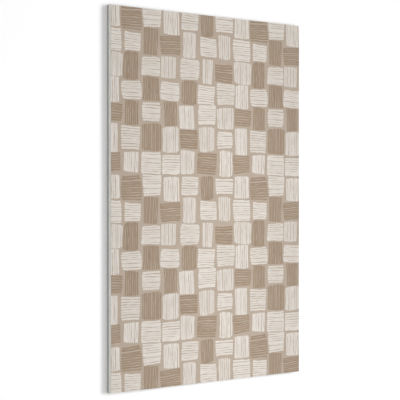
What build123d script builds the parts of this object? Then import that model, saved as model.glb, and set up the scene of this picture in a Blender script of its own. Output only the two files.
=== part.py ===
from build123d import *
import os

# An acoustic felt wall panel: one board of pressed polyester felt, printed on its face.
# It lies on its back. Millimetres, +X across the board, +Y up the print, +Z out of the face.
# The origin is the middle of the back, where the board is glued or clipped to its wall.

# Driving dimensions
panel_width = 600.0
panel_length = 900.0
panel_thickness = 12.0

corner_radius = 1.5         # upright corners, as the cutting blade leaves them
face_edge_radius = 0.8      # face edge, where the pressed felt turns over into the side

# The back edge is cut away at a slant on all four sides, so that the board
# stands off its wall with a thin dark line of shadow round it.
relief_depth = 2.5          # how far the slant reaches in from the side
relief_height = 2.0         # how far the slant reaches up from the back

with BuildPart() as felt_panel:
    # The board, stamped out square to its face
    with BuildSketch(Plane.XY):
        RectangleRounded(panel_width, panel_length, corner_radius)
    extrude(amount=panel_thickness)

    # The soft edge round the face
    face_outline = felt_panel.faces().sort_by(Axis.Z)[-1].edges()
    fillet(face_outline, radius=face_edge_radius)

    # One pair of knife passes along the long sides and one along the short sides.
    # Each pass takes off a wedge as long as its side, and the slants meet in a
    # mitre at each corner of the back.
    knife_passes = [
        (Plane.XZ, panel_width, panel_length),
        (Plane.YZ, panel_length, panel_width),
    ]
    for section_plane, across, along in knife_passes:
        with BuildSketch(section_plane):
            with BuildLine():
                Polyline(
                    (across / 2 - relief_depth, 0),
                    (across / 2, 0),
                    (across / 2, relief_height),
                    close=True,
                )
            make_face()
            mirror(about=Plane.YZ)
        extrude(amount=along / 2, both=True, mode=Mode.SUBTRACT)

felt_panel.part.label = "felt_panel"

os.makedirs("parts", exist_ok=True)
export_step(felt_panel.part, "parts/felt_panel.step")
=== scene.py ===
import math
import random
from collections import namedtuple

import bmesh
import bpy
from mathutils import Matrix, Vector


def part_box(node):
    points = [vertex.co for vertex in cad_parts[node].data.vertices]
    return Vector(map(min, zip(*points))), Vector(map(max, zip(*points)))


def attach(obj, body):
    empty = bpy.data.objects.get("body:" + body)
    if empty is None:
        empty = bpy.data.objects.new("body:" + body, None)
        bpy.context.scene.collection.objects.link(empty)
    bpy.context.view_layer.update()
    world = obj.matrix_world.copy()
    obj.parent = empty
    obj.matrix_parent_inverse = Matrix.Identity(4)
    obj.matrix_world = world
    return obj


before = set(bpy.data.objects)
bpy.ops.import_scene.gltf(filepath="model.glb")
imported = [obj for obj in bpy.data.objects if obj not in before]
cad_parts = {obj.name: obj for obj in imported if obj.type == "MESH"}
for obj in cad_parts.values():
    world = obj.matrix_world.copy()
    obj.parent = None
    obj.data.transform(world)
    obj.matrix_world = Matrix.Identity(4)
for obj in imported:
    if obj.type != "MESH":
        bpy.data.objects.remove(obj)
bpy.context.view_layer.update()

MM = 0.001

# The board, as the frame gives it. It lies on its back with the print facing up.
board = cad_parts["felt_panel"]
board_low, board_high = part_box("felt_panel")
face_height = board_high.z
slant_top = 2.0 * MM            # the slant along the back edge ends here
print_margin = 0.5 * MM         # the ink ends where the face turns over into the side
face_left = board_low.x + print_margin
face_right = board_high.x - print_margin
face_bottom = board_low.y + print_margin
face_top = board_high.y - print_margin

# The woven print. It repeats every 400 mm both ways, seven blocks to a repeat.
# Standing blocks and lying blocks take turns, as in a basket weave.
weave_repeat = 400 * MM
blocks_per_repeat = 7
block_pitch = weave_repeat / blocks_per_repeat
first_column = board_low.x + 32 * MM
first_row = board_high.y - 50 * MM
stretch_beside = 6.0 * MM       # a lying block is this much wider than its cell, a standing one narrower
stretch_upright = 7.5 * MM      # a standing block is this much taller than its cell, a lying one lower
gap_beside = 2.6 * MM           # least bare ground between two blocks side by side
gap_between_ends = 0.6 * MM     # the same between one above the other
edge_wander = 4.3 * MM          # how unevenly the edges of the cells are placed
loose_fit = 6.5 * MM            # how far a side of a block may stay back from its cell's edge
loose_powers = (2, 2, 3, 3)     # how seldom its left, right, lower and upper side stay back far
block_tilt = math.radians(2.2)  # how crooked a block may stand
brown_in_row = 2                # brown blocks in a row of one repeat
brown_rich_row = 4              # this row has one more
weave_seed = 41

# The brush strokes that fill a block
stroke_seed = 26
stroke_pitch = 5.5 * MM
pitch_spread = 0.12             # how far a block's own pitch strays from it, as a share
end_slant = 0.09                # how far the ends of a block's strokes slope
end_play = 0.5 * MM             # how far each end strays from that
corner_loss = (0.01, 0.22)      # how much shorter a block's outermost strokes are, least and most
corner_power = 6.0              # the higher, the nearer to the block's sides that begins
fan_out = 0.1                   # how much a block's strokes spread or close up on their way
shared_bend = 1.7 * MM          # how far neighbouring strokes bend together
shared_bend_scale = 26.0        # how often, as a noise scale
own_bend = 0.9 * MM             # how far each bends by itself
own_bend_scale = 45.0
side_play = 0.6 * MM            # how far each strays sideways
most_strokes = 64               # no block has this many, so a block's number times it tells strokes apart

# One stroke
points_on_stroke = 12
end_crowding = 0.5              # how much closer together they are towards the ends
cream_cover = 0.805             # how much of the pitch its width covers
brown_cover = 0.74
own_width = (0.86, 1.1)         # its width as a share of that, least and most
swelling = 0.32                 # how much it swells and thins on the way
swelling_scale = 60.0           # how often, as a noise scale
tip_power = 36.0                # the higher, the blunter its ends
tip_least = 0.4                 # how broad it still is at its very end
flare = 0.24                    # how much broader it is where the brush is set down and lifted
flare_power = 5.0
ink_height = 0.1 * MM           # how far the film stands out of the felt and reaches into it
ink_spread = 0.25               # how far a stroke's own thickness strays from that, as a share
map_lean = 3.0                  # how far a height moves a point on the strokes' map, to the right
map_lean_up = 0.6               # and upwards, as a share of that

# The felt and the ink
fibre_scales = (330, 470, 640)  # three sizes of fibre, as noise scales
fibre_shifts = (0.0, 3.1, 7.7)
fibre_width = 0.07
bump_strength = 0.7
felt_relief = 0.16 * MM
ink_relief = 0.12 * MM


# Small helpers for node trees

def put(tree, kind, feeds=None, **settings):
    """Adds a node, with its settings and with a link or a value for each socket in feeds."""
    node = tree.nodes.new(kind)
    for name, value in settings.items():
        setattr(node, name, value)
    for key, value in (feeds or {}).items():
        feed(tree, node.inputs[key], value)
    return node


def feed(tree, socket, value):
    """Gives a socket a link, if the value is itself a socket, or else a fixed value."""
    if isinstance(value, bpy.types.NodeSocket):
        tree.links.new(value, socket)
    else:
        socket.default_value = value


def reckon(tree, operation, *values, clamp=False):
    """A Math node's result."""
    feeds = dict(enumerate(values))
    return put(tree, "ShaderNodeMath", feeds, operation=operation, use_clamp=clamp).outputs[0]


def vector(tree, x, y, z):
    return put(tree, "ShaderNodeCombineXYZ", {0: x, 1: y, 2: z}).outputs[0]


def attribute(tree, label, kind="FLOAT"):
    """Reads one of the named values that the blocks and strokes carry."""
    return put(tree, "GeometryNodeInputNamedAttribute", {0: label}, data_type=kind).outputs[0]


def keep(tree, geometry, label, value, kind="FLOAT"):
    """Stores a named value on every point."""
    feeds = {0: geometry, 2: label, 3: value}
    return put(tree, "GeometryNodeStoreNamedAttribute", feeds, data_type=kind, domain="POINT").outputs[0]


def chance(tree, start, low, high, identity, salt):
    """A number from low to high by the tree's seed, the same for all points with one identity. Each
    use has its own salt, so that no two depend on one another."""
    node = put(tree, "FunctionNodeRandomValue", data_type="FLOAT")
    sockets = {socket.identifier: socket for socket in node.inputs}
    feed(tree, sockets["Min_001"], low)
    feed(tree, sockets["Max_001"], high)
    feed(tree, sockets["ID"], identity)
    feed(tree, sockets["Seed"], reckon(tree, "ADD", start.outputs["Seed"], salt))
    return next(socket for socket in node.outputs if socket.identifier == "Value_001")


def drift(tree, x, y, z, scale):
    """Smooth noise about zero, from -1 to 1."""
    feeds = {"Vector": vector(tree, x, y, z), "Scale": scale, "Detail": 1.0}
    return put(tree, "ShaderNodeTexNoise", feeds, noise_dimensions="3D", normalize=False).outputs[0]


def new_group(name, inputs):
    """A Geometry Nodes tree with the named inputs, and its first and last node."""
    tree = bpy.data.node_groups.new(name, "GeometryNodeTree")
    face = tree.interface
    face.new_socket("Geometry", in_out="INPUT", socket_type="NodeSocketGeometry")
    for label, (kind, value) in inputs.items():
        socket = face.new_socket(label, in_out="INPUT", socket_type=kind)
        if value is not None:
            socket.default_value = value
    face.new_socket("Geometry", in_out="OUTPUT", socket_type="NodeSocketGeometry")
    return tree, tree.nodes.new("NodeGroupInput"), tree.nodes.new("NodeGroupOutput")


def grow(name, guide, tree, values):
    """Runs a Geometry Nodes tree on a guide mesh and returns the plain mesh that comes out."""
    carrier = bpy.data.objects.new(name + ".guide", guide)
    bpy.context.scene.collection.objects.link(carrier)
    modifier = carrier.modifiers.new(name, "NODES")
    modifier.node_group = tree
    for item in tree.interface.items_tree:
        if item.in_out == "INPUT" and item.name in values:
            modifier[item.identifier] = values[item.name]
    grown = carrier.evaluated_get(bpy.context.evaluated_depsgraph_get())
    mesh = bpy.data.meshes.new_from_object(grown)
    mesh.name = name
    bpy.data.objects.remove(carrier)
    bpy.data.meshes.remove(guide)
    return mesh


# The layout of the weave

Block = namedtuple("Block", "x y along across turn number brown")
count = blocks_per_repeat
cells = [(i, j) for i in range(count) for j in range(count)]


def choose_standing(draw):
    """Which blocks of one repeat stand. They take turns as on a chequerboard, but seven is odd, so
    each row and each column has a place where two alike meet. It moves on from row to row."""
    steps = draw.sample((0, 0, 1, 1, 1, 2, 2), count)
    meeting = [sum(steps[:j]) for j in range(count)]
    return {(i, j) for i, j in cells if (i + j + (i >= meeting[j])) % 2 == 0}


def neighbours(i, j):
    """The four cells round a cell, where the repeat goes on into the next one."""
    return [((i + a) % count, (j + b) % count) for a, b in ((1, 0), (-1, 0), (0, 1), (0, -1))]


def choose_brown(draw):
    """Which blocks of one repeat are brown: a few in each row, spread over the columns, and none with
    more than one brown neighbour."""
    while True:
        brown = set()
        for j in range(count):
            here = brown_in_row + (j == brown_rich_row)
            brown.update((i, j) for i in draw.sample(range(count), here))
        in_columns = [sum(cell[0] == i for cell in brown) for i in range(count)]
        touching = [sum(cell in brown for cell in neighbours(i, j)) for i, j in brown]
        if max(in_columns) < 4 and min(in_columns) > 0 and max(touching) < 2:
            return brown


def weave_blocks():
    """Every block of the print on the face."""
    draw = random.Random(weave_seed)
    standing = choose_standing(draw)
    brown = choose_brown(draw)
    wander = {cell: [draw.uniform(-1, 1) * edge_wander for way in "xy"] for cell in cells}
    loose = {cell: [draw.random() ** power * loose_fit for power in loose_powers] for cell in cells}
    tilts = {cell: draw.uniform(-1, 1) * block_tilt for cell in cells}

    def edge_right(i, j):
        """How far the edge between a cell and the next one to its right is moved to the right."""
        longer = ((i, j) not in standing) - (((i + 1) % count, j) not in standing)
        return longer * stretch_beside / 2 + wander[i, j][0]

    def edge_above(i, j):
        """How far the edge between a cell and the one above it is moved up."""
        longer = ((i, j) in standing) - ((i, (j + 1) % count) in standing)
        return longer * stretch_upright / 2 + wander[i, j][1]

    blocks = []
    for column in range(-1, 1 + math.ceil((board_high.x - first_column) / block_pitch)):
        for row in range(-1, 1 + math.ceil((first_row - board_low.y) / block_pitch)):
            i, j = column % count, (-row) % count
            spare = loose[i, j]
            left = column * block_pitch + edge_right((i - 1) % count, j) + gap_beside / 2 + spare[0]
            right = (column + 1) * block_pitch + edge_right(i, j) - gap_beside / 2 - spare[1]
            below = (i, (j - 1) % count)
            low = -(row + 1) * block_pitch + edge_above(*below) + gap_between_ends / 2 + spare[2]
            high = -row * block_pitch + edge_above(i, j) - gap_between_ends / 2 - spare[3]
            x = first_column + (left + right) / 2
            y = first_row + (low + high) / 2
            if (i, j) in standing:
                size = (high - low, right - left, math.pi / 2 + tilts[i, j])
            else:
                size = (right - left, high - low, tilts[i, j])
            blocks.append(Block(x, y, *size, i * count + j, (i, j) in brown))
    return blocks


def block_guide(name, blocks):
    """A mesh of one loose point for each block, which carries the block's size, turn and number."""
    guide = bpy.data.meshes.new(name)
    guide.from_pydata([(block.x, block.y, face_height) for block in blocks], [], [])
    for label, kind in (("along", "FLOAT"), ("across", "FLOAT"), ("turn", "FLOAT"), ("number", "INT")):
        layer = guide.attributes.new(label, kind, "POINT")
        layer.data.foreach_set("value", [getattr(block, label) for block in blocks])
    return guide


# The brush strokes

def stroke_points(tree, start):
    """One point for each stroke of each block, which knows its own place in the block."""
    number = attribute(tree, "number", "INT")
    across = attribute(tree, "across")
    near_share = chance(tree, start, 1 - pitch_spread, 1 + pitch_spread, number, salt=6)
    near_pitch = reckon(tree, "MULTIPLY", start.outputs["Pitch"], near_share)
    strokes_here = reckon(tree, "ROUND", reckon(tree, "DIVIDE", across, near_pitch))
    copies = put(tree, "GeometryNodeDuplicateElements",
                 {"Geometry": start.outputs[0], "Amount": strokes_here}, domain="POINT")
    index = copies.outputs["Duplicate Index"]
    stroke_id = reckon(tree, "ADD", reckon(tree, "MULTIPLY", number, most_strokes), index)
    share = reckon(tree, "DIVIDE", reckon(tree, "ADD", index, 0.5), strokes_here)
    side = reckon(tree, "MULTIPLY", reckon(tree, "SUBTRACT", share, 0.5), across)
    home = put(tree, "GeometryNodeInputPosition").outputs[0]

    points = keep(tree, copies.outputs[0], "stroke_id", stroke_id)
    points = keep(tree, points, "pitch", reckon(tree, "DIVIDE", across, strokes_here))
    points = keep(tree, points, "side", side)
    return keep(tree, points, "home", home, "FLOAT_VECTOR")


def stroke_lines(tree, points):
    """A line of points for each stroke, as yet without its length and place."""
    line = put(tree, "GeometryNodeCurvePrimitiveLine")
    line = put(tree, "GeometryNodeResampleCurve", {"Curve": line.outputs[0], "Count": points_on_stroke})
    lines = put(tree, "GeometryNodeInstanceOnPoints", {"Points": points, "Instance": line.outputs[0]})
    return put(tree, "GeometryNodeRealizeInstances", {"Geometry": lines.outputs[0]}).outputs[0]


def place_on_stroke(tree):
    """Where a point lies on its stroke, from -0.5 to 0.5, closer together towards the ends."""
    step = put(tree, "GeometryNodeSplineParameter").outputs["Index"]
    from_middle = reckon(tree, "MULTIPLY_ADD", step, 2.0 / (points_on_stroke - 1), -1.0)
    crowding = reckon(tree, "MULTIPLY", reckon(tree, "ABSOLUTE", from_middle), end_crowding)
    return reckon(tree, "MULTIPLY", from_middle, reckon(tree, "SUBTRACT", 1.0, crowding))


def place_along_block(tree, start, on_stroke):
    """How far a point lies from the block's middle along its strokes. Their ends slope a little from
    block to block, and the outer strokes are shorter, which rounds the block's corners."""
    number = attribute(tree, "number", "INT")
    stroke_id = attribute(tree, "stroke_id")
    side = attribute(tree, "side")
    outward = reckon(tree, "DIVIDE", reckon(tree, "MULTIPLY", side, 2.0), attribute(tree, "across"))
    outward = reckon(tree, "POWER", reckon(tree, "ABSOLUTE", outward), corner_power)
    loss = reckon(tree, "MULTIPLY", outward, chance(tree, start, *corner_loss, number, salt=7))
    length = reckon(tree, "MULTIPLY", attribute(tree, "along"), reckon(tree, "SUBTRACT", 1.0, loss))
    ends = []
    for half, slant_salt, play_salt in ((0.5, 8, 1), (-0.5, 9, 2)):
        slant = chance(tree, start, -end_slant, end_slant, number, salt=slant_salt)
        play = chance(tree, start, -end_play, end_play, stroke_id, salt=play_salt)
        shift = reckon(tree, "ADD", reckon(tree, "MULTIPLY", side, slant), play)
        ends.append(reckon(tree, "MULTIPLY_ADD", length, half, shift))
    far, near = ends
    middle = reckon(tree, "MULTIPLY", reckon(tree, "ADD", far, near), 0.5)
    return reckon(tree, "MULTIPLY_ADD", reckon(tree, "SUBTRACT", far, near), on_stroke, middle)


def lay_out_strokes(tree, start, lines, on_stroke, along):
    """Puts each stroke in its place in its block, with the hand's drift, which neighbours share, and
    its own, and gives it its own tone."""
    number = attribute(tree, "number", "INT")
    stroke_id = attribute(tree, "stroke_id")
    side = attribute(tree, "side")
    fan = reckon(tree, "MULTIPLY", on_stroke, chance(tree, start, -fan_out, fan_out, number, salt=10))
    fanned = reckon(tree, "MULTIPLY_ADD", side, fan, side)
    shared = drift(tree, along, side, reckon(tree, "MULTIPLY", number, 0.731), shared_bend_scale)
    shared = reckon(tree, "MULTIPLY", shared, shared_bend)
    own = drift(tree, along, reckon(tree, "MULTIPLY", stroke_id, 0.377), 0.0, own_bend_scale)
    own = reckon(tree, "MULTIPLY", own, own_bend)
    bent = reckon(tree, "ADD", fanned, reckon(tree, "ADD", shared, own))
    across = reckon(tree, "ADD", bent, chance(tree, start, -side_play, side_play, stroke_id, salt=3))
    turned = put(tree, "ShaderNodeVectorRotate",
                 {"Vector": vector(tree, along, across, 0.0), "Angle": attribute(tree, "turn")},
                 rotation_type="Z_AXIS").outputs[0]
    home = attribute(tree, "home", "FLOAT_VECTOR")
    place = put(tree, "ShaderNodeVectorMath", {0: home, 1: turned}, operation="ADD").outputs[0]

    block_tone = chance(tree, start, -0.5, 0.5, number, salt=11)
    stroke_tone = chance(tree, start, -0.5, 0.5, stroke_id, salt=4)
    lines = keep(tree, lines, "tone", reckon(tree, "ADD", block_tone, stroke_tone))
    lines = put(tree, "GeometryNodeSetPosition", {"Geometry": lines, "Position": place}).outputs[0]
    return put(tree, "GeometryNodeSetCurveNormal", {"Curve": lines}, mode="Z_UP").outputs[0]


def usual_half_width(tree, start):
    """Half the width of a block's strokes, before each has its own."""
    width = reckon(tree, "MULTIPLY", attribute(tree, "pitch"), start.outputs["Cover"])
    return reckon(tree, "MULTIPLY", width, 0.5)


def own_half_width(tree, start, on_stroke, along):
    """Half the width of a stroke at a point: a little broader where the brush is set down and lifted,
    round at both ends, and swelling and thinning on the way."""
    stroke_id = attribute(tree, "stroke_id")
    reach = reckon(tree, "ABSOLUTE", reckon(tree, "MULTIPLY", on_stroke, 2.0))
    tip = reckon(tree, "SUBTRACT", 1.0, reckon(tree, "POWER", reach, tip_power), clamp=True)
    tip = reckon(tree, "MAXIMUM", reckon(tree, "SQRT", tip), tip_least)
    broader = reckon(tree, "MULTIPLY_ADD", reckon(tree, "POWER", reach, flare_power), flare, 1.0)
    swell = drift(tree, along, reckon(tree, "MULTIPLY", stroke_id, 0.513), 4.0, swelling_scale)
    width = chance(tree, start, *own_width, stroke_id, salt=5)
    swell = reckon(tree, "MULTIPLY_ADD", swell, swelling, width)
    shape = reckon(tree, "MULTIPLY", reckon(tree, "MULTIPLY", tip, broader), swell)
    return reckon(tree, "MULTIPLY", usual_half_width(tree, start), shape)


def press_flat(tree, start, bars):
    """Presses the bars down to a film that stands as high over the felt as it reaches into it. Each
    stroke has its own thickness, so that where two overlap one lies on top."""
    position = put(tree, "GeometryNodeInputPosition").outputs[0]
    position = put(tree, "ShaderNodeSeparateXYZ", {0: position})
    stroke_id = attribute(tree, "stroke_id")
    own_share = chance(tree, start, 1 - ink_spread, 1 + ink_spread, stroke_id, salt=12)
    thickness = reckon(tree, "MULTIPLY", start.outputs["Ink height"], own_share)
    press = reckon(tree, "DIVIDE", thickness, usual_half_width(tree, start))
    raised = reckon(tree, "MULTIPLY", reckon(tree, "SUBTRACT", position.outputs[2], face_height), press)
    height = reckon(tree, "ADD", raised, face_height)
    pressed = vector(tree, position.outputs[0], position.outputs[1], height)
    film = put(tree, "GeometryNodeSetPosition", {"Geometry": bars, "Position": pressed}).outputs[0]
    return put(tree, "GeometryNodeSetShadeSmooth", {"Geometry": film, "Shade Smooth": False}).outputs[0]


def stroke_tree():
    """Fills each block with brush strokes side by side: flat films of ink with blunt round ends, which
    bend together and each a little by itself."""
    tree, start, end = new_group("brush_strokes", {
        "Pitch": ("NodeSocketFloat", stroke_pitch),
        "Cover": ("NodeSocketFloat", cream_cover),
        "Ink height": ("NodeSocketFloat", ink_height),
        "Seed": ("NodeSocketInt", 0),
        "Ink": ("NodeSocketMaterial", None),
    })
    on_stroke = place_on_stroke(tree)
    along = place_along_block(tree, start, on_stroke)
    lines = stroke_lines(tree, stroke_points(tree, start))
    lines = lay_out_strokes(tree, start, lines, on_stroke, along)
    square = put(tree, "GeometryNodeCurvePrimitiveQuadrilateral", {"Width": 2.0, "Height": 2.0},
                 mode="RECTANGLE").outputs[0]
    half_width = own_half_width(tree, start, on_stroke, along)
    bars = put(tree, "GeometryNodeCurveToMesh",
               {"Curve": lines, "Profile Curve": square, "Scale": half_width, "Fill Caps": True})
    film = press_flat(tree, start, bars.outputs[0])
    film = put(tree, "GeometryNodeRealizeInstances", {"Geometry": film}).outputs[0]
    feeds = {"Geometry": film, "Material": start.outputs["Ink"]}
    inked = put(tree, "GeometryNodeSetMaterial", feeds)
    tree.links.new(inked.outputs[0], end.inputs[0])
    return tree


def trim_to_face(mesh):
    """Cuts the strokes off at the edges of the face, as the board was cut from printed sheet, and
    closes each cut."""
    shape = bmesh.new()
    shape.from_mesh(mesh)
    sides = [
        ((face_left, 0, 0), (-1, 0, 0)),
        ((face_right, 0, 0), (1, 0, 0)),
        ((0, face_bottom, 0), (0, -1, 0)),
        ((0, face_top, 0), (0, 1, 0)),
    ]
    for spot, outward in sides:
        everything = shape.verts[:] + shape.edges[:] + shape.faces[:]
        cut = bmesh.ops.bisect_plane(
            shape, geom=everything, plane_co=spot, plane_no=outward, clear_outer=True, dist=1e-7
        )
        rim = [edge for edge in cut["geom_cut"] if isinstance(edge, bmesh.types.BMEdge)]
        bmesh.ops.holes_fill(shape, edges=rim, sides=0)
    bmesh.ops.recalc_face_normals(shape, faces=shape.faces[:])
    shape.to_mesh(mesh)
    shape.free()


def lay_flat_map(mesh):
    """The bake's map: the face of the board seen from above, so that each stroke keeps its own place.
    It is seen a little from one side, so that the thin sides of the strokes show on it too."""
    layer = mesh.uv_layers.new(name="OFBake")
    size = board_high - board_low
    for loop in mesh.loops:
        spot = mesh.vertices[loop.vertex_index].co - board_low
        lean = (spot.z - size.z) * map_lean
        layer.data[loop.index].uv = ((spot.x + lean) / size.x, (spot.y + map_lean_up * lean) / size.y)


# Materials

def new_material(name):
    """A material with a matt surface, as (material, its tree, its shader)."""
    material = bpy.data.materials.new(name)
    material.use_nodes = True
    tree = material.node_tree
    shader = tree.nodes["Principled BSDF"]
    shader.inputs["Roughness"].default_value = 0.94
    shader.inputs["Specular IOR Level"].default_value = 0.18
    return material, tree, shader


def colour_mix(tree, share, first, second):
    feeds = {0: share, 6: first, 7: second}
    return put(tree, "ShaderNodeMix", feeds, data_type="RGBA").outputs[2]


def spread_noise(tree, place, scale, detail=2.0, roughness=0.5):
    feeds = {"Vector": place, "Scale": scale, "Detail": detail, "Roughness": roughness}
    return put(tree, "ShaderNodeTexNoise", feeds).outputs[0]


def fitted(tree, value, low, high, to_low=0.0, to_high=1.0):
    feeds = {0: value, 1: low, 2: high, 3: to_low, 4: to_high}
    return put(tree, "ShaderNodeMapRange", feeds).outputs[0]


def pressed_fibres(tree, place):
    """The lie of the felt from 0 to 1: fine fibres that curl and cross every way."""
    height = None
    for scale, shift in zip(fibre_scales, fibre_shifts):
        moved = put(tree, "ShaderNodeMapping", {"Vector": place, "Location": (shift, shift, shift)})
        feeds = {"Vector": moved.outputs[0], "Scale": scale, "Detail": 2.0, "Roughness": 0.55}
        feeds["Distortion"] = 1.0
        noise = put(tree, "ShaderNodeTexNoise", feeds).outputs[0]
        off_line = reckon(tree, "ABSOLUTE", reckon(tree, "SUBTRACT", noise, 0.5))
        fibre = fitted(tree, off_line, 0.0, fibre_width, 1.0, 0.0)
        height = fibre if height is None else reckon(tree, "MAXIMUM", height, fibre)
    return height


def shaded(tree, colour, shade):
    feeds = {0: colour, 1: vector(tree, shade, shade, shade)}
    return put(tree, "ShaderNodeVectorMath", feeds, operation="MULTIPLY").outputs[0]


def finish_surface(tree, shader, colour, height, distance, dullness):
    """Gives the shader its colour, a bump from height, and a roughness that follows the same height."""
    tree.links.new(colour, shader.inputs["Base Color"])
    tree.links.new(fitted(tree, height, 0.0, 1.0, *dullness), shader.inputs["Roughness"])
    bump = put(tree, "ShaderNodeBump", {"Strength": bump_strength, "Distance": distance, "Height": height})
    tree.links.new(bump.outputs[0], shader.inputs["Normal"])


def ink_material(name, body, worn, dark):
    """Matt ink brushed on felt: each stroke has its own tone, runs dry in streaks and shows the fibres."""
    material, tree, shader = new_material(name)
    shader.inputs["Sheen Weight"].default_value = 0.04
    place = put(tree, "ShaderNodeTexCoord").outputs["Object"]
    turn = put(tree, "ShaderNodeAttribute", attribute_name="turn").outputs["Fac"]
    tone = put(tree, "ShaderNodeAttribute", attribute_name="tone").outputs["Fac"]
    against = reckon(tree, "MULTIPLY", turn, -1.0)
    lined_up = put(tree, "ShaderNodeVectorRotate", {"Vector": place, "Angle": against},
                   rotation_type="Z_AXIS")
    drawn_out = put(tree, "ShaderNodeMapping", {"Vector": lined_up.outputs[0], "Scale": (40, 850, 850)})
    streaks = spread_noise(tree, drawn_out.outputs[0], 1.0, 3.0)
    fibres = pressed_fibres(tree, place)
    bare = reckon(tree, "MULTIPLY_ADD", fibres, -0.14, streaks)
    dry = fitted(tree, bare, 0.48, 0.66, 0.0, 0.5)
    toned = colour_mix(tree, fitted(tree, tone, -1.0, 1.0), dark, body)
    shade = fitted(tree, fibres, 0.0, 1.0, 0.93, 1.05)
    colour = shaded(tree, colour_mix(tree, dry, toned, worn), shade)
    finish_surface(tree, shader, colour, fibres, ink_relief, dullness=(0.98, 0.82))
    return material


def felt_material():
    """Pale grey felt, with the ground of the print on its face and the pressed layers on its cut sides."""
    material, tree, shader = new_material("felt_board")
    shader.inputs["Sheen Weight"].default_value = 0.08
    place = put(tree, "ShaderNodeTexCoord").outputs["Object"]
    height = put(tree, "ShaderNodeSeparateXYZ", {0: place}).outputs[2]
    fibres = pressed_fibres(tree, place)
    clouds = spread_noise(tree, place, 38.0, 4.0, 0.6)
    flecks = spread_noise(tree, place, 900.0, 2.0)

    # Raw felt: pale fibres with a few grey ones
    raw = colour_mix(tree, fitted(tree, clouds, 0.35, 0.65), raw_felt_shade, raw_felt)
    raw = colour_mix(tree, fitted(tree, flecks, 0.62, 0.74, 0.0, 0.35), raw, raw_felt_fleck)

    # The printed ground, which stops at the turn of the edge
    ground = colour_mix(tree, fitted(tree, clouds, 0.3, 0.7), ground_shade, ground_colour)
    ragged = reckon(tree, "ADD", height, fitted(tree, flecks, 0.3, 0.7, -0.06 * MM, 0.06 * MM))
    printed = fitted(tree, ragged, face_height - 0.2 * MM, face_height - 0.08 * MM)
    colour = colour_mix(tree, printed, raw, ground)

    # Over the slant along the back edge, up to a hair above it on the side, the felt is painted dark:
    # painted shade of the gap under the back edge
    above_back = fitted(tree, height, 0.03 * MM, 0.08 * MM)
    below_side = fitted(tree, height, slant_top, slant_top + 0.1 * MM, 1.0, 0.0)
    colour = colour_mix(tree, reckon(tree, "MULTIPLY", above_back, below_side), colour, back_edge_painted_shade)

    # The cut sides show the pressed layers as fine lines along the board
    layered = put(tree, "ShaderNodeMapping", {"Vector": place, "Scale": (30, 30, 1400)})
    layers = spread_noise(tree, layered.outputs[0], 1.0, 4.0, 0.6)
    normal = put(tree, "ShaderNodeNewGeometry").outputs["True Normal"]
    facing_up = put(tree, "ShaderNodeSeparateXYZ", {0: normal}).outputs[2]
    upright = fitted(tree, reckon(tree, "ABSOLUTE", facing_up), 0.2, 0.8, 1.0, 0.0)
    lines = reckon(tree, "MULTIPLY", fitted(tree, layers, 0.3, 0.7, -1.0, 1.0), upright)
    shade = reckon(tree, "MULTIPLY_ADD", lines, 0.1, fitted(tree, fibres, 0.0, 1.0, 0.9, 1.05))
    relief = reckon(tree, "MULTIPLY_ADD", lines, 0.35, fibres)
    finish_surface(tree, shader, shaded(tree, colour, shade), relief, felt_relief, dullness=(1.0, 0.84))
    return material


def srgb(red, green, blue):
    """A colour given as it looks on a screen, 0 to 255, as the linear colour that shaders take."""
    def linear(part):
        part /= 255
        return part / 12.92 if part <= 0.04045 else ((part + 0.055) / 1.055) ** 2.4
    return (linear(red), linear(green), linear(blue), 1.0)


raw_felt = srgb(233, 231, 225)
raw_felt_shade = srgb(226, 224, 218)
raw_felt_fleck = srgb(196, 195, 192)
# painted shade for the gap under the back edge, on the slant
back_edge_painted_shade = srgb(62, 60, 58)
ground_colour = srgb(192, 176, 160)
ground_shade = srgb(186, 170, 154)
cream = srgb(231, 224, 216)
cream_dark = srgb(219, 211, 202)
cream_worn = srgb(201, 189, 174)
brown = srgb(169, 149, 128)
brown_dark = srgb(156, 136, 115)
brown_worn = srgb(184, 165, 145)


# The board and its two colours of stroke

def print_strokes(name, blocks, strokes, ink, cover):
    """Makes the strokes of one colour, as a piece of its own on the board's body."""
    feeds = {"Seed": stroke_seed, "Cover": cover, "Ink": ink}
    mesh = grow(name, block_guide(name, blocks), strokes, feeds)
    trim_to_face(mesh)
    lay_flat_map(mesh)
    piece = bpy.data.objects.new(name, mesh)
    bpy.context.scene.collection.objects.link(piece)
    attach(piece, "root")


board.data.materials.clear()
board.data.materials.append(felt_material())

all_blocks = weave_blocks()
cream_blocks = [block for block in all_blocks if not block.brown]
brown_blocks = [block for block in all_blocks if block.brown]
cream_ink = ink_material("cream_ink", cream, cream_worn, cream_dark)
brown_ink = ink_material("brown_ink", brown, brown_worn, brown_dark)
strokes = stroke_tree()
print_strokes("cream_strokes", cream_blocks, strokes, cream_ink, cream_cover)
print_strokes("brown_strokes", brown_blocks, strokes, brown_ink, brown_cover)


# The stage: a wide pale floor, which the camera sees as white outside the board's shadow

floor_half = 6.0
floor_grey = (0.6, 0.6, 0.6, 1.0)   # to all but the camera, so that it doesn't light the sides too much
floor_lift = 0.2                # light that the floor adds of its own, for the camera
lift_reach = 40 * MM            # within this reach of the board it adds less, a painted shade
lift_power = 1.5
edge_shade_reach = 3 * MM       # within this reach of the board the floor's colour is darkened, a painted contact shade
edge_shade_power = 2.0

# Lamps. A share of 1 is full daylight on the face of the board.
all_round = 0.205               # evenly, from the world
key_share = 0.52                # very large and far off, low on the right
key_place = (34.0, 3.2, 19.4)
key_size = (26.0, 13.0)
fill_share = 0.09               # weak, and lower on the left, for the left side of the board
fill_place = (-19.0, 0.0, 4.0)
fill_size = (8.0, 8.0)
overhead_share = 0.52           # a long strip close above the middle, which is brighter for it
overhead_place = (0.035, -0.22, 0.45)
overhead_size = (0.15, 1.25)

# The camera, beyond the board's left edge
camera_stand = (-2.0435, 0.0051, 2.4649)
camera_target = (-0.0337, -0.0027, 0.012)
camera_lens = 116.9
camera_sensor = 36.0


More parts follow.
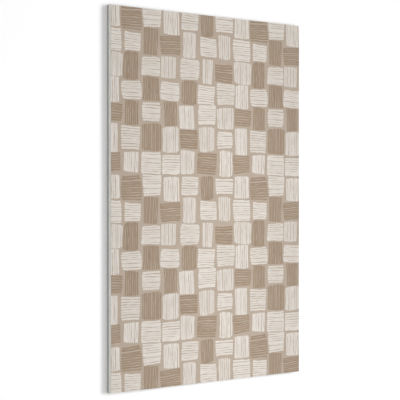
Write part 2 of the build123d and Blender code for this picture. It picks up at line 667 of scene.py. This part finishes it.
def seen_ray(tree):
    """1 for a ray that comes from the camera, straight or by way of gloss or glass, and else 0."""
    path = put(tree, "ShaderNodeLightPath").outputs
    seen = reckon(tree, "MAXIMUM", path["Is Camera Ray"], path["Is Glossy Ray"])
    return reckon(tree, "MAXIMUM", seen, path["Is Transmission Ray"])


def openness(tree, reach, power):
    """How open the floor is within this reach, from 0 close under the board to 1 away from it."""
    node = put(tree, "ShaderNodeAmbientOcclusion", {"Distance": reach}, samples=8)
    return reckon(tree, "POWER", node.outputs["AO"], power)


def lay_floor():
    mesh = bpy.data.meshes.new("floor")
    corners = [
        (-floor_half, -floor_half, 0),
        (floor_half, -floor_half, 0),
        (floor_half, floor_half, 0),
        (-floor_half, floor_half, 0),
    ]
    mesh.from_pydata(corners, [], [(0, 1, 2, 3)])
    floor = bpy.data.objects.new("floor", mesh)
    bpy.context.scene.collection.objects.link(floor)
    material = bpy.data.materials.new("pale_floor")
    material.use_nodes = True
    tree = material.node_tree
    tree.nodes.clear()
    seen = seen_ray(tree)
    # Painted contact shade: the floor's colour for the camera darkens where the board closes it in
    painted_edge_shade = openness(tree, edge_shade_reach, edge_shade_power)
    paint = colour_mix(tree, seen, floor_grey, vector(tree, painted_edge_shade, painted_edge_shade, painted_edge_shade))
    matt = put(tree, "ShaderNodeBsdfDiffuse", {"Color": paint})
    lifted = reckon(tree, "MULTIPLY", reckon(tree, "MULTIPLY", seen, floor_lift),
                    openness(tree, lift_reach, lift_power))
    lift = put(tree, "ShaderNodeEmission", {"Strength": lifted})
    both = put(tree, "ShaderNodeAddShader", {0: matt.outputs[0], 1: lift.outputs[0]})
    out = put(tree, "ShaderNodeOutputMaterial")
    tree.links.new(both.outputs[0], out.inputs[0])
    mesh.materials.append(material)


def light_all_round():
    """A white world, which lights the board with its share and looks full white to the camera."""
    world = bpy.data.worlds.new("studio")
    world.use_nodes = True
    tree = world.node_tree
    tree.nodes.clear()
    strength = reckon(tree, "ADD", reckon(tree, "MULTIPLY", seen_ray(tree), 1.0 - all_round), all_round)
    sky = put(tree, "ShaderNodeBackground", {"Color": (1, 1, 1, 1), "Strength": strength})
    out = put(tree, "ShaderNodeOutputWorld")
    tree.links.new(sky.outputs[0], out.inputs[0])
    bpy.context.scene.world = world


def hang_lamp(name, place, share, size, facing=(0, 0, 0)):
    """A lamp that faces a spot and lights it by this share of full daylight, or by less where the
    lamp is large for its distance."""
    light = bpy.data.lights.new(name, "AREA")
    light.shape = "RECTANGLE"
    light.size, light.size_y = size
    away = Vector(place) - Vector(facing)
    light.energy = share * math.pi ** 2 * away.length_squared / away.normalized().z
    holder = bpy.data.objects.new(name, light)
    holder.location = place
    holder.rotation_mode = "QUATERNION"
    holder.rotation_quaternion = away.to_track_quat("Z", "Y")
    bpy.context.scene.collection.objects.link(holder)


def place_camera():
    """Looks down on the board from beyond its left edge, with the top of the print at the top of the
    picture."""
    camera = bpy.data.cameras.new("camera")
    camera.lens = camera_lens
    camera.sensor_width = camera_sensor
    camera.clip_end = 50.0
    stand = Vector(camera_stand)
    ahead = (Vector(camera_target) - stand).normalized()
    across = ahead.cross(Vector((0, 1, 0))).normalized()
    up = across.cross(ahead)
    holder = bpy.data.objects.new("camera", camera)
    holder.matrix_world = Matrix((
        (across.x, up.x, -ahead.x, stand.x),
        (across.y, up.y, -ahead.y, stand.y),
        (across.z, up.z, -ahead.z, stand.z),
        (0, 0, 0, 1),
    ))
    bpy.context.scene.collection.objects.link(holder)
    bpy.context.scene.camera = holder


lay_floor()
light_all_round()
hang_lamp("key", key_place, key_share, key_size)
hang_lamp("fill", fill_place, fill_share, fill_size)
below_overhead = (overhead_place[0], overhead_place[1], 0)
hang_lamp("overhead", overhead_place, overhead_share, overhead_size, facing=below_overhead)
place_camera()
bpy.context.scene.view_settings.view_transform = "Standard"
